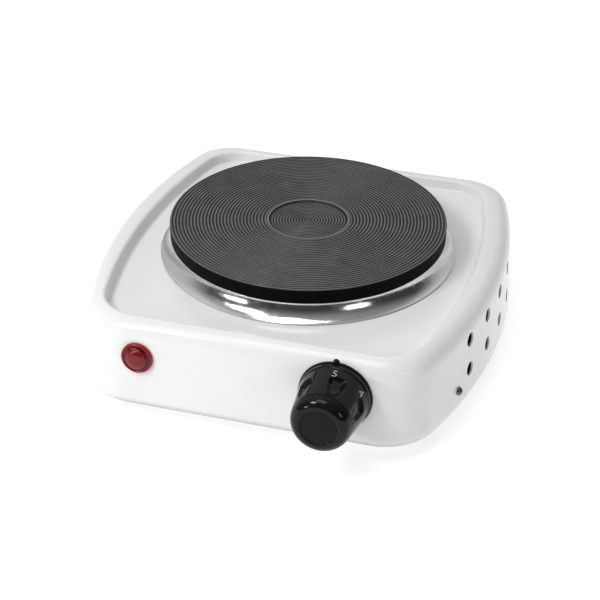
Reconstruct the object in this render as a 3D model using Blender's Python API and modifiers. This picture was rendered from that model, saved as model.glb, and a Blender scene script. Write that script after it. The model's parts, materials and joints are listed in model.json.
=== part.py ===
"""Single-ring electric hot plate: pressed-steel housing, cast iron plate, thermostat, lamp and wiring.

World units are metres: X to the right, Y to the back, Z up. The origin is the middle of the
bounding box's underside, on the table top. Shapes inside the functions are written in
millimetres in the frame of the empty that carries them, and scaled by MM.
"""
import math

import bmesh
import bpy
from mathutils import Matrix, Vector

MM = 0.001

# Driving dimensions of the housing, in millimetres, measured from the plate's axis
FOOT_HEIGHT = 6.0          # table top to the housing's lower edge
RIM_HEIGHT = 58.5          # table top to the crest of the rim
TRAY_HEIGHT = 52.5         # table top to the tray's surface
HALF_WIDTH = 112.7
FRONT_DEPTH = 116.1
BACK_DEPTH = 105.5
SIDE_BOW_RADIUS = 289.0
FRONT_CORNER = 30.2
BACK_CORNER = 25.8

# The tray inside the rim, measured at the inner edge of the rim's flat crest
TRAY_HALF_WIDTH = 98.2
TRAY_FRONT = 105.6
TRAY_BACK = 94.0
TRAY_BOW_RADIUS = 340.0
TRAY_BOW_Y = -8.0          # where the tray is widest
TRAY_FRONT_CORNER = 25.2
TRAY_BACK_CORNER = 23.2
RIM_CORNER_CUT = 0.6       # how fast the corners tighten as the rim turns inwards
CREST_ROUND = 2.2          # from the crest into the tray's wall
TRAY_ROUND = 2.0           # from the wall into the tray's floor
TRAY_WALL_RUN = 0.9        # how far the tray's wall leans in between its two rounds
WALL_DRAFT = math.radians(2.5)
RIM_ROUND = 10.0
LOWER_ROUND = 8.0
SHEET = 1.0                # thickness of the housing's sheet

# Cooking plate and the ring round it
PLATE_TOP = 71.0
PLATE_RADIUS = 77.5
PLATE_HUB_RADIUS = 22.3    # recessed middle of the cooking surface
TRAY_HOLE_RADIUS = 74.5

# Controls on the front panel and the gland at the back
KNOB_X = 48.6
KNOB_HEIGHT = 37.5
KNOB_LENGTH = 32.8
KNOB_FRONT_RADIUS = 16.4
SKIRT_RADIUS = 19.1
BEZEL_RADIUS = 19.6
FLUTE_CENTRE = 22.1        # from the knob's axis to the axis of a finger flute
FLUTE_RADIUS = 6.5
LAMP_X = -59.0
LAMP_HEIGHT = 39.2
GLAND_X = 55.0
GLAND_HEIGHT = 24.0
GLAND_LENGTH = 4.2

# Side walls: vents and the screws that carry the base plate
VENT_RADIUS = 4.0
VENT_HEIGHTS = (27.5, 45.5)
VENT_FRONT_Y = -56.5
VENT_PITCH = 26.5
VENTS_PER_ROW = 4
SIDE_SCREW_Y = -71.0
SIDE_SCREW_HEIGHT = 21.8

# Positions of the pieces that stand on the base plate
BASE_TOP = 5.7
BASE_SHEET = 1.0
FEET = {"front_right": (80.0, -84.0), "front_left": (-80.0, -84.0),
        "back_right": (77.0, 77.0), "back_left": (-77.0, 77.0)}
TERMINAL_BLOCK = (52.0, 69.0)
EARTH_SCREW = (84.0, 55.0)
CORD_CLAMP_Y = 85.0
PLATE_TERMINAL_Y = 38.0
PLATE_TERMINAL_PITCH = 12.0

FINISHES = {
    "enamel": ((0.90, 0.91, 0.91), 0.18, 0.0),
    "cast_iron": ((0.045, 0.045, 0.047), 0.55, 0.3),
    "stainless": ((0.72, 0.72, 0.73), 0.12, 1.0),
    "steel": ((0.55, 0.56, 0.58), 0.35, 1.0),
    "brass": ((0.78, 0.60, 0.28), 0.3, 1.0),
    "black_gloss": ((0.012, 0.012, 0.013), 0.12, 0.0),
    "black_plastic": ((0.02, 0.02, 0.022), 0.4, 0.0),
    "red_lens": ((0.35, 0.01, 0.01), 0.1, 0.0),
    "glass": ((0.9, 0.85, 0.8), 0.05, 0.0),
    "ceramic": ((0.86, 0.83, 0.76), 0.6, 0.0),
    "magnesia": ((0.62, 0.58, 0.52), 0.9, 0.0),
    "resistance_wire": ((0.35, 0.33, 0.31), 0.45, 1.0),
    "rubber": ((0.03, 0.03, 0.03), 0.8, 0.0),
    "brown_sleeve": ((0.25, 0.11, 0.05), 0.6, 0.0),
    "blue_sleeve": ((0.05, 0.14, 0.40), 0.6, 0.0),
    "green_sleeve": ((0.10, 0.38, 0.12), 0.6, 0.0),
    "white_sleeve": ((0.78, 0.76, 0.72), 0.6, 0.0),
}


# ---------------------------------------------------------------- frames and outlines

def wall_lean(height):
    """How far the drafted wall stands inside its lowest outline at a height."""
    return math.tan(WALL_DRAFT) * (height - FOOT_HEIGHT - LOWER_ROUND)


KNOB_FRONT = FRONT_DEPTH - wall_lean(KNOB_HEIGHT) + KNOB_LENGTH * math.cos(WALL_DRAFT)
GLAND_BACK = BACK_DEPTH - wall_lean(GLAND_HEIGHT) + GLAND_LENGTH * math.cos(WALL_DRAFT)
PLATE_Y = (KNOB_FRONT - GLAND_BACK) / 2


def arc(centre, radius, start, end, segments):
    """Points of an arc, both ends included; angles in radians."""
    steps = [start + (end - start) * i / segments for i in range(segments + 1)]
    return [(centre[0] + radius * math.cos(a), centre[1] + radius * math.sin(a)) for a in steps]


def bowed_outline(half_width, bow, bow_y, front_end, back_end):
    """A plan outline: bowed sides, straight front and back; each end is a (depth, corner radius)."""
    bow_centre = (half_width - bow, bow_y)
    corners = []
    for (depth, radius), side in ((front_end, -1), (back_end, 1)):
        y = side * (depth - radius)
        x = bow_centre[0] + math.sqrt((bow - radius) ** 2 - (y - bow_y) ** 2)
        corners.append(((x, y), radius, math.atan2(y - bow_y, x - bow_centre[0])))
    (front, front_radius, front_angle), (back, back_radius, back_angle) = corners
    right = arc(front, front_radius, -math.pi / 2, front_angle, 5)
    right += arc(bow_centre, bow, front_angle, back_angle, 6)[1:-1]
    right += arc(back, back_radius, back_angle, math.pi / 2, 5)
    return right + [(-x, y) for x, y in reversed(right)]


def housing_outline(offset, corner_cut=0.0):
    """The housing's plan moved outwards by offset."""
    return bowed_outline(HALF_WIDTH + offset, SIDE_BOW_RADIUS + offset, 0.0,
                         (FRONT_DEPTH + offset, FRONT_CORNER - corner_cut),
                         (BACK_DEPTH + offset, BACK_CORNER - corner_cut))


def tray_outline(offset):
    """The inner edge of the rim moved outwards by offset; the corners keep their centres."""
    return bowed_outline(TRAY_HALF_WIDTH + offset, TRAY_BOW_RADIUS + offset, TRAY_BOW_Y,
                         (TRAY_FRONT + offset, TRAY_FRONT_CORNER + offset),
                         (TRAY_BACK + offset, TRAY_BACK_CORNER + offset))


def side_wall_x(y, height):
    """Outer X of the right side wall."""
    radius = SIDE_BOW_RADIUS - wall_lean(height)
    return HALF_WIDTH - SIDE_BOW_RADIUS + math.sqrt(radius ** 2 - y ** 2)


# ---------------------------------------------------------------- scene helpers

def clear_scene():
    for old in list(bpy.data.objects):
        bpy.data.objects.remove(old, do_unlink=True)


def make_collection(name):
    made = bpy.data.collections.new(name)
    bpy.context.scene.collection.children.link(made)
    return made


clear_scene()
MODEL = make_collection("hot_plate_burner")
CUTTERS = make_collection("cutters")


def make_frame(name, matrix):
    """An empty that carries pieces; its matrix is in millimetres from the plate's axis."""
    frame = bpy.data.objects.new(name, None)
    frame.empty_display_size = 0.01
    MODEL.objects.link(frame)
    place = Matrix.Translation((0, PLATE_Y * MM, 0))
    frame.matrix_world = place @ Matrix.Translation(matrix.translation * MM) @ matrix.to_3x3().to_4x4()
    return frame


def panel_matrix(x, height, side):
    """A point on the front (side -1) or back (side 1) panel, its local Z pointing straight out."""
    depth = (FRONT_DEPTH if side < 0 else BACK_DEPTH) - wall_lean(height)
    turn = Matrix.Rotation(-side * (math.pi / 2 - WALL_DRAFT), 4, "X")
    return Matrix.Translation((x, side * depth, height)) @ turn


def side_matrix(side):
    """The side screw's place on the right (1) or left (-1) wall, its local X pointing straight out."""
    x = side_wall_x(SIDE_SCREW_Y, SIDE_SCREW_HEIGHT)
    bow = math.atan2(SIDE_SCREW_Y, x - HALF_WIDTH + SIDE_BOW_RADIUS)
    turn = bow if side > 0 else math.pi - bow
    return Matrix.Translation((side * x, SIDE_SCREW_Y, SIDE_SCREW_HEIGHT)) @ Matrix.Rotation(turn, 4, "Z")


KNOB_MATRIX = panel_matrix(KNOB_X, KNOB_HEIGHT, -1)
LAMP_MATRIX = panel_matrix(LAMP_X, LAMP_HEIGHT, -1)
GLAND_MATRIX = panel_matrix(GLAND_X, GLAND_HEIGHT, 1)

PLATE_AXIS = make_frame("plate_axis", Matrix.Identity(4))
KNOB_AXIS = make_frame("knob_axis", KNOB_MATRIX)
LAMP_AXIS = make_frame("lamp_axis", LAMP_MATRIX)
GLAND_AXIS = make_frame("gland_axis", GLAND_MATRIX)
SIDE_FIXINGS = {"right": make_frame("side_fixing_right", side_matrix(1)),
                "left": make_frame("side_fixing_left", side_matrix(-1))}


def make_material(name, finish):
    colour, roughness, metallic = FINISHES[finish]
    made = bpy.data.materials.new(name)
    made.use_nodes = True
    shader = made.node_tree.nodes["Principled BSDF"]
    shader.inputs["Base Color"].default_value = (*colour, 1.0)
    shader.inputs["Roughness"].default_value = roughness
    shader.inputs["Metallic"].default_value = metallic
    return made


def add_part(name, data, finish, frame=PLATE_AXIS, at=(0, 0, 0)):
    part = bpy.data.objects.new(name, data)
    MODEL.objects.link(part)
    part.parent = frame
    part.location = Vector(at) * MM
    part.data.materials.append(make_material(name, finish))
    return part


def mesh_from(name, shape):
    mesh = bpy.data.meshes.new(name)
    shape.to_mesh(mesh)
    shape.free()
    return mesh


def turned(name, finish, profile, frame=PLATE_AXIS, steps=24, closed=False):
    """A lathe shape about the frame's Z; the profile (radius, height) runs down its outer side."""
    shape = bmesh.new()
    points = [shape.verts.new((r * MM, 0, z * MM)) for r, z in profile]
    for first, second in zip(points, points[1:]):
        shape.edges.new((first, second))
    if closed:
        shape.edges.new((points[-1], points[0]))
    part = add_part(name, mesh_from(name, shape), finish, frame)
    screw = part.modifiers.new("turn", "SCREW")
    screw.axis = "Z"
    screw.angle = 2 * math.pi
    screw.steps = steps
    screw.render_steps = steps
    screw.use_merge_vertices = True
    screw.merge_threshold = 0.00001
    screw.use_smooth_shade = True
    return part


def add_box(shape, low, high):
    """A box between two corners, in millimetres."""
    low, high = Vector(low) * MM, Vector(high) * MM
    size = high - low
    place = Matrix.Translation((low + high) / 2) @ Matrix.Diagonal((*size, 1))
    bmesh.ops.create_cube(shape, size=1.0, matrix=place)


def add_rod(shape, radius, start, end, segments=16, tip_radius=None):
    """A cylinder or cone from start to end, in millimetres."""
    start, end = Vector(start) * MM, Vector(end) * MM
    axis = end - start
    place = Matrix.Translation((start + end) / 2) @ axis.to_track_quat("Z", "Y").to_matrix().to_4x4()
    tip = radius if tip_radius is None else tip_radius
    bmesh.ops.create_cone(shape, cap_ends=True, segments=segments, radius1=radius * MM,
                          radius2=tip * MM, depth=axis.length, matrix=place)


def box(name, finish, low, high, frame=PLATE_AXIS, bevel=0.0, at=(0, 0, 0)):
    shape = bmesh.new()
    add_box(shape, low, high)
    part = add_part(name, mesh_from(name, shape), finish, frame, at)
    if bevel:
        edge = part.modifiers.new("edge", "BEVEL")
        edge.width = bevel * MM
        edge.segments = 1
    return part


def combine(part, name, shape, operation):
    """Cut a shape out of a part, or join it to the part."""
    other = bpy.data.objects.new(name, mesh_from(name, shape))
    CUTTERS.objects.link(other)
    other.parent = part.parent
    other.location = part.location
    other.hide_render = True
    other.display_type = "WIRE"
    step = part.modifiers.new(name, "BOOLEAN")
    step.operation = operation
    step.object = other
    step.solver = "EXACT"
    step.use_self = operation == "UNION"


def drill(part, name, radius, spans, segments=16):
    """Round holes along a list of (start, end) spans."""
    shape = bmesh.new()
    for start, end in spans:
        add_rod(shape, radius, start, end, segments)
    combine(part, name, shape, "DIFFERENCE")


def cut_boxes(part, name, boxes):
    shape = bmesh.new()
    for low, high in boxes:
        add_box(shape, low, high)
    combine(part, name, shape, "DIFFERENCE")


def strip(name, finish, path, width, thickness, frame=PLATE_AXIS, at=(0, 0, 0)):
    """A bent strip: a path in the frame's XZ plane, width along Y, made solid both ways."""
    shape = bmesh.new()
    rows = [[shape.verts.new((x * MM, y * MM, z * MM)) for x, z in path]
            for y in (-width / 2, width / 2)]
    for i in range(len(path) - 1):
        shape.faces.new((rows[0][i], rows[0][i + 1], rows[1][i + 1], rows[1][i]))
    part = add_part(name, mesh_from(name, shape), finish, frame, at)
    solid = part.modifiers.new("sheet", "SOLIDIFY")
    solid.thickness = thickness * MM
    solid.offset = 0
    solid.use_even_offset = True
    return part


def sheet_from_outline(name, finish, outline, low, high):
    """A flat sheet between two heights: a filled 2D curve turned into a mesh."""
    curve = bpy.data.curves.new(name + "_outline", "CURVE")
    curve.dimensions = "2D"
    curve.fill_mode = "BOTH"
    curve.extrude = (high - low) / 2 * MM
    spline = curve.splines.new("POLY")
    spline.points.add(len(outline) - 1)
    for point, (x, y) in zip(spline.points, outline):
        point.co = (x * MM, y * MM, 0, 1)
    spline.use_cyclic_u = True
    holder = bpy.data.objects.new(name + "_outline", curve)
    bpy.context.scene.collection.objects.link(holder)
    view = bpy.context.evaluated_depsgraph_get()
    mesh = bpy.data.meshes.new_from_object(holder.evaluated_get(view))
    bpy.data.objects.remove(holder, do_unlink=True)
    shape = bmesh.new()
    shape.from_mesh(mesh)
    bmesh.ops.remove_doubles(shape, verts=shape.verts, dist=0.00001)
    bmesh.ops.recalc_face_normals(shape, faces=shape.faces)
    shape.to_mesh(mesh)
    shape.free()
    mesh.materials.clear()
    return add_part(name, mesh, finish, at=(0, 0, (low + high) / 2))


def smooth_path(points, per_span=3):
    """A Catmull-Rom curve through hand-chosen points."""
    knots = [Vector(p) for p in points]
    ends = [2 * knots[0] - knots[1]] + knots + [2 * knots[-1] - knots[-2]]
    path = []
    for a, b, c, d in zip(ends, ends[1:], ends[2:], ends[3:]):
        for i in range(per_span):
            t = i / per_span
            path.append(((2 * b) + (c - a) * t + (2 * a - 5 * b + 4 * c - d) * t ** 2
                         + (3 * b - a - 3 * c + d) * t ** 3) / 2)
    return path + [knots[-1]]


def tube(name, finish, path, radius, resolution=2):
    """A wire along a path of points in millimetres, with filled ends."""
    curve = bpy.data.curves.new(name, "CURVE")
    curve.dimensions = "3D"
    curve.bevel_depth = radius * MM
    curve.bevel_resolution = resolution
    curve.use_fill_caps = True
    spline = curve.splines.new("POLY")
    spline.points.add(len(path) - 1)
    for point, place in zip(spline.points, path):
        point.co = (*(Vector(place) * MM), 1)
    return add_part(name, curve, finish)


# ---------------------------------------------------------------- housing and underside

def round_levels(centre_offset, centre_height, radius, start, end, segments):
    """(offset, height) pairs round a bend of the housing's wall; angles in degrees."""
    angles = [math.radians(start + (end - start) * i / segments) for i in range(segments + 1)]
    return [(centre_offset + radius * math.cos(a), centre_height + radius * math.sin(a)) for a in angles]


def housing_rings():
    """Outlines with heights, from the lip under the body, up the wall and over the rim to the tray."""
    wall = [(-LOWER_ROUND - 6.0, FOOT_HEIGHT)]
    wall += round_levels(-LOWER_ROUND, FOOT_HEIGHT + LOWER_ROUND, LOWER_ROUND, -90, 0, 3)
    rings = [(housing_outline(offset), height) for offset, height in wall]
    wall_top = -wall_lean(RIM_HEIGHT - RIM_ROUND)
    rim = round_levels(wall_top - RIM_ROUND, RIM_HEIGHT - RIM_ROUND, RIM_ROUND, 0, 75, 4)
    rings += [(housing_outline(offset, RIM_CORNER_CUT * (wall_top - offset)), height)
              for offset, height in rim]
    foot = -CREST_ROUND - TRAY_ROUND - TRAY_WALL_RUN
    inner = round_levels(0.0, RIM_HEIGHT - CREST_ROUND, CREST_ROUND, 90, 160, 2)
    inner += round_levels(foot, TRAY_HEIGHT + TRAY_ROUND, TRAY_ROUND, -20, -90, 2)
    return rings + [(tray_outline(offset), height) for offset, height in inner]


def make_housing():
    shape = bmesh.new()
    rings = []
    for outline, height in housing_rings():
        rings.append([shape.verts.new((x * MM, y * MM, height * MM)) for x, y in outline])
    for lower, upper in zip(rings, rings[1:]):
        for i in range(len(lower)):
            j = (i + 1) % len(lower)
            shape.faces.new((lower[i], lower[j], upper[j], upper[i]))
    shape.faces.new(rings[-1])
    for face in shape.faces:
        face.smooth = True
    housing = add_part("housing", mesh_from("housing", shape), "enamel")
    solid = housing.modifiers.new("sheet", "SOLIDIFY")
    solid.thickness = SHEET * MM
    solid.offset = -1
    solid.use_even_offset = True
    drill(housing, "tray_hole", TRAY_HOLE_RADIUS, [((0, 0, 45), (0, 0, 60))], 48)
    rows = [VENT_FRONT_Y + VENT_PITCH * i for i in range(VENTS_PER_ROW)]
    vent_spans = [((-130, y, height), (130, y, height)) for height in VENT_HEIGHTS for y in rows]
    drill(housing, "vents", VENT_RADIUS, vent_spans, 10)
    panel_holes = bmesh.new()
    for matrix, radius in ((KNOB_MATRIX, 5.3), (LAMP_MATRIX, 6.2), (GLAND_MATRIX, 6.6)):
        add_rod(panel_holes, radius, matrix @ Vector((0, 0, -5)), matrix @ Vector((0, 0, 5)))
    for side in (1, -1):
        matrix = side_matrix(side)
        add_rod(panel_holes, 1.9, matrix @ Vector((-4, 0, 0)), matrix @ Vector((4, 0, 0)), 10)
    combine(housing, "panel_holes", panel_holes, "DIFFERENCE")


def make_base_plate():
    plate = sheet_from_outline("base_plate", "steel", housing_outline(-8.5, 8.5),
                               BASE_TOP - BASE_SHEET, BASE_TOP)
    middle = BASE_TOP - BASE_SHEET / 2
    hooks = bmesh.new()
    for x in (-28, 28):
        for side, depth in ((-1, FRONT_DEPTH), (1, BACK_DEPTH)):
            inner, outer = sorted((side * (depth - 16.4), side * (depth - 15.2)))
            add_box(hooks, (x - 6, inner, -0.2), (x + 6, outer, 8.4 - middle))
            inner, outer = sorted((side * (depth - 16.4), side * (depth - 10.5)))
            add_box(hooks, (x - 6, inner, 7.4 - middle), (x + 6, outer, 8.4 - middle))
    combine(plate, "base_hooks", hooks, "UNION")
    slots = [((x - 16, y - 2, -3), (x + 16, y + 2, 3)) for x in (-24, 24) for y in (-45, -30, 30, 45)]
    cut_boxes(plate, "base_slots", slots)
    spots = [(x, y) for x, y in FEET.values()]
    spots += [(GLAND_X + dx, CORD_CLAMP_Y) for dx in (-11, 11)] + [EARTH_SCREW]
    for side in (1, -1):
        foot = side_matrix(side) @ Vector((-22, 0, 0))
        spots.append((foot.x, foot.y))
    drill(plate, "base_holes", 2.0, [((x, y, -3), (x, y, 3)) for x, y in spots], 10)


def make_screw(name, frame, at, axis, head_radius, shank_radius, reach):
    """A pan-head screw: at is the seat under its head, axis points from the seat out of the head."""
    head = 1.8
    profile = [(0, head), (head_radius * 0.7, head * 0.9), (head_radius, head * 0.35), (head_radius, 0),
               (shank_radius, 0), (shank_radius, -reach + 0.6), (shank_radius - 0.5, -reach), (0, -reach)]
    screw = turned(name, "steel", profile, frame, 8)
    screw.location = Vector(at) * MM
    screw.rotation_euler = Vector(axis).to_track_quat("Z", "Y").to_euler()
    cross = bmesh.new()
    arm = head_radius * 0.55
    add_box(cross, (-arm, -0.3, head - 0.8), (arm, 0.3, head + 1))
    combine(screw, name + "_slot", cross, "DIFFERENCE")
    CUTTERS.objects[name + "_slot"].rotation_euler = screw.rotation_euler
    return screw


def make_feet():
    for place, (x, y) in FEET.items():
        foot = turned("foot_" + place, "rubber",
                      [(1.9, 4.4), (8.0, 4.4), (7.4, 0.6), (6.8, 0), (3.9, 0), (3.9, 3.1), (1.9, 3.1)],
                      steps=12, closed=True)
        foot.location = Vector((x, y, 0)) * MM
        make_screw("foot_screw_" + place, PLATE_AXIS, (x, y, 2.8), (0, 0, -1), 3.4, 1.6, 6.0)


def make_side_fixings():
    drop = SIDE_SCREW_HEIGHT
    leg = [(-2.7, 28 - drop), (-2.7, 14 - drop), (-15.8, 8 - drop), (-16.8, 6.6 - drop), (-27, 6.6 - drop)]
    for place, frame in SIDE_FIXINGS.items():
        bracket = strip("side_bracket_" + place, "steel", leg, 14, 1.0, frame)
        drill(bracket, "side_bracket_holes_" + place, 1.9,
              [((-4, 0, 0), (0, 0, 0)), ((-22, 0, 4 - drop), (-22, 0, 9 - drop))], 10)
        make_screw("side_screw_" + place, frame, (0.3, 0, 0), (1, 0, 0), 3.2, 1.5, 7.0)
        under = BASE_TOP - BASE_SHEET - 0.3 - drop
        make_screw("base_screw_" + place, frame, (-22, 0, under), (0, 0, -1), 3.0, 1.5, 5.5)


# ---------------------------------------------------------------- cooking plate

def make_hot_plate():
    hub = PLATE_HUB_RADIUS
    edge = PLATE_RADIUS
    ceiling, rib = 64.5, 57.0
    profile = [(0, PLATE_TOP - 1), (hub - 1, PLATE_TOP - 1), (hub, PLATE_TOP), (edge - 0.8, PLATE_TOP),
               (edge, PLATE_TOP - 0.8), (edge - 0.2, 62.9), (edge - 0.5, 62.6), (73.5, 62.6), (73.5, 52),
               (68.5, 52), (68.5, ceiling), (48.5, ceiling), (48.5, rib), (45.5, rib), (45.5, ceiling),
               (27.5, ceiling), (27.5, rib), (24.5, rib), (24.5, ceiling), (10, ceiling), (10, 57.5),
               (4.3, 57.5), (4.3, 66.5), (0, 66.5)]
    turned("hot_plate", "cast_iron", profile, steps=40)


def make_trim_ring():
    profile = [(73.9, 62.0), (76.4, 62.0), (77.6, 59.4), (79.4, 54.8), (83.0, 53.2)]
    ring = turned("trim_ring", "stainless", profile, steps=40)
    solid = ring.modifiers.new("sheet", "SOLIDIFY")
    solid.thickness = 0.4 * MM
    solid.offset = 0
    solid.use_even_offset = True


def make_heaters():
    for name, inner, outer, low, high in (("inner", 31.5, 41.0, 28.0, 45.0),
                                          ("outer", 53.0, 63.0, 49.0, 68.0)):
        turns = 1.85
        count = 32
        path = []
        for i in range(count + 1):
            angle = 2 * math.pi * turns * i / count
            radius = inner + (outer - inner) * i / count
            path.append((radius * math.cos(angle), radius * math.sin(angle), 62.1))
        tube(name + "_heating_coil", "resistance_wire", path, 2.0)
        turned(name + "_coil_bed", "magnesia", [(low, 59.7), (high, 59.7), (high, 57.3), (low, 57.3)],
               steps=24, closed=True)


def make_plate_underside():
    turned("plate_cover", "steel", [(5.2, 56.6), (68.1, 56.6), (68.1, 55.8), (5.2, 55.8)],
           steps=28, closed=True)
    shield = turned("heat_shield", "steel", [(4.8, 45.2), (66, 45.2), (66, 44.6), (4.8, 44.6)],
                    steps=28, closed=True)
    cut_boxes(shield, "heat_shield_window", [((-19, 30, 40), (19, 46, 50))])
    turned("centre_stud", "steel", [(0, 66.2), (3.4, 66.2), (4, 65.6), (4, 30.6), (3.4, 30), (0, 30)],
           steps=12)
    bar_path = [(-84, 50.2), (-77.5, 50.2), (-70, 43.2), (70, 43.2), (77.5, 50.2), (84, 50.2)]
    bar = strip("clamp_bar", "steel", bar_path, 18, 2.0)
    drill(bar, "clamp_bar_hole", 4.5, [((0, 0, 40), (0, 0, 47))])
    turned("spring_washer", "steel", [(4.5, 41.9), (8.5, 41.9), (8.5, 40.1), (4.5, 40.1)],
           steps=16, closed=True)
    nut = bmesh.new()
    add_rod(nut, 7.5, (0, 0, 33.5), (0, 0, 39.8), 6)
    clamp_nut = add_part("clamp_nut", mesh_from("clamp_nut", nut), "steel")
    drill(clamp_nut, "clamp_nut_hole", 4.3, [((0, 0, 30), (0, 0, 43))])
    turned("thermal_fuse", "black_plastic", [(0, 41.9), (8, 41.9), (8, 37.4), (7.5, 36.9), (0, 36.9)],
           steps=16).location = Vector((-38, 0, 0)) * MM
    y = PLATE_TERMINAL_Y
    box("plate_terminal_block", "ceramic", (-18, y - 6, 45.8), (18, y + 6, 55.5), bevel=0.8)
    for i in range(3):
        x = PLATE_TERMINAL_PITCH * (i - 1)
        box("plate_terminal_%d" % (i + 1), "steel", (x - 3.15, y - 0.4, 36), (x + 3.15, y + 0.4, 45.5),
            bevel=0.2)


# ---------------------------------------------------------------- thermostat and knob

STACK_X = -12.0            # from the knob's axis to the thermostat's stack
ARM_DEPTH = -15.2          # depth of the contact arm's hinge behind the panel


def make_thermostat():
    bracket = box("thermostat_bracket", "steel", (-19, -9, -2.5), (19, 9, -1.3), KNOB_AXIS)
    bush = bmesh.new()
    add_rod(bush, 4.8, (0, 0, -2.0), (0, 0, 5.0))
    combine(bracket, "thermostat_bush", bush, "UNION")
    drill(bracket, "thermostat_bore", 3.35, [((0, 0, -6), (0, 0, 8))])
    nut = bmesh.new()
    add_rod(nut, 7.5, (0, 0, 0.3), (0, 0, 2.8), 6)
    panel_nut = add_part("thermostat_nut", mesh_from("thermostat_nut", nut), "steel", KNOB_AXIS)
    drill(panel_nut, "thermostat_nut_hole", 5.1, [((0, 0, -2), (0, 0, 5))])
    turned("thermostat_shaft", "steel", [(0, 22), (2.5, 22), (3, 21.5), (3, -7.5), (1.2, -7.5), (1.2, -14.2),
                                         (0.8, -14.5), (0, -14.5)], KNOB_AXIS, 12)
    for name, finish, top, bottom in (("thermostat_stack", "ceramic", -2.8, -9.0),
                                      ("thermostat_spacer", "ceramic", -10.2, -14.6),
                                      ("thermostat_end_cap", "ceramic", -15.9, -19.5)):
        block = turned(name, finish, [(0, top), (5.0, top), (5.5, top - 0.5), (5.5, bottom + 0.5),
                                      (5.0, bottom), (0, bottom)], KNOB_AXIS, 12)
        block.location = Vector((STACK_X, 0, 0)) * MM
    blade = box("fixed_contact_blade", "brass", (-18, -3.5, -9.9), (10.5, 3.5, -9.3), KNOB_AXIS)
    button = bmesh.new()
    add_rod(button, 1.9, (7.5, 0, -12.2), (7.5, 0, -9.5), 12)
    combine(blade, "fixed_contact", button, "UNION")
    drill(blade, "shaft_pin_hole", 2.0, [((0, 0, -12), (0, 0, -7))], 12)
    arm = box("contact_arm", "brass", (-5.8, -3, -0.3), (24, 3, 0.3), KNOB_AXIS, at=(STACK_X, 0, ARM_DEPTH))
    button = bmesh.new()
    add_rod(button, 1.9, (19.5, 0, 0.1), (19.5, 0, 2.6), 12)
    combine(arm, "moving_contact", button, "UNION")


def make_knob():
    turned("knob_bezel", "black_plastic",
           [(8.6, 1.7), (BEZEL_RADIUS - 0.8, 1.7), (BEZEL_RADIUS, 1.2), (BEZEL_RADIUS, 0.3), (8.6, 0.3)],
           KNOB_AXIS, 30, closed=True)
    nub = bmesh.new()
    add_rod(nub, 1.8, (0, BEZEL_RADIUS, 0.5), (0, BEZEL_RADIUS, 2.0), 12, tip_radius=1.5)
    combine(MODEL.objects["knob_bezel"], "bezel_pointer", nub, "UNION")
    end, side = KNOB_LENGTH, KNOB_FRONT_RADIUS
    outer = [(0, end - 0.5), (9.4, end - 0.5), (9.9, end), (11.6, end - 0.2), (13.7, end - 1.4),
             (15.3, end - 3.5), (side - 0.3, end - 6.2), (side, end - 9.3), (SKIRT_RADIUS - 1.2, 10.0),
             (SKIRT_RADIUS - 0.6, 5.2), (SKIRT_RADIUS, 4.4), (SKIRT_RADIUS, 2.3)]
    inner = [(17.7, 2.3), (16.4, 8.0), (14.0, 25.0), (11.5, 28.2), (6.6, 28.2), (6.6, 6.0),
             (4.3, 6.0), (4.3, 23.5), (0, 23.5)]
    knob = turned("knob", "black_gloss", outer + inner, KNOB_AXIS, 30)
    scoops, ends = bmesh.new(), bmesh.new()
    for i in range(6):
        angle = math.radians(75 + 60 * i)
        x, y = FLUTE_CENTRE * math.cos(angle), FLUTE_CENTRE * math.sin(angle)
        add_rod(scoops, FLUTE_RADIUS, (x, y, 13.3), (x, y, KNOB_LENGTH + 3), 20)
        add_rod(ends, 4.4, (x, y, 10.8), (x, y, 13.5), 20, tip_radius=FLUTE_RADIUS)
    combine(knob, "knob_flutes", scoops, "DIFFERENCE")
    combine(knob, "knob_flute_ends", ends, "DIFFERENCE")
    turned("knob_spring", "steel", [(3.35, 20), (3.95, 20), (3.95, 8), (3.35, 8)], KNOB_AXIS, 16, closed=True)


def make_lamp():
    turned("lamp_lens", "red_lens",
           [(0, 4.6), (2.6, 4.3), (4.6, 3.5), (5.6, 2.3), (8.1, 2.0), (8.75, 1.4), (8.75, 0.3), (5.8, 0.3),
            (5.8, -8), (5.0, -8), (5.0, 0.9), (3.6, 2.3), (0, 3.2)], LAMP_AXIS, 20)
    turned("lamp_body", "black_plastic",
           [(3.7, -0.4), (4.7, -0.4), (4.7, -15), (1.4, -15), (1.4, -13.6), (3.7, -13.6)],
           LAMP_AXIS, 12, closed=True)
    turned("neon_bulb", "glass", [(0, -0.8), (1.5, -1.1), (2.5, -2.4), (2.5, -12), (0, -12.8)], LAMP_AXIS, 12)
    turned("lamp_retainer", "steel", [(6.2, -1.4), (9, -1.4), (9, -3.2), (6.2, -3.2)], LAMP_AXIS, 12,
           closed=True)


# ---------------------------------------------------------------- mains entry and wiring

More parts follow.
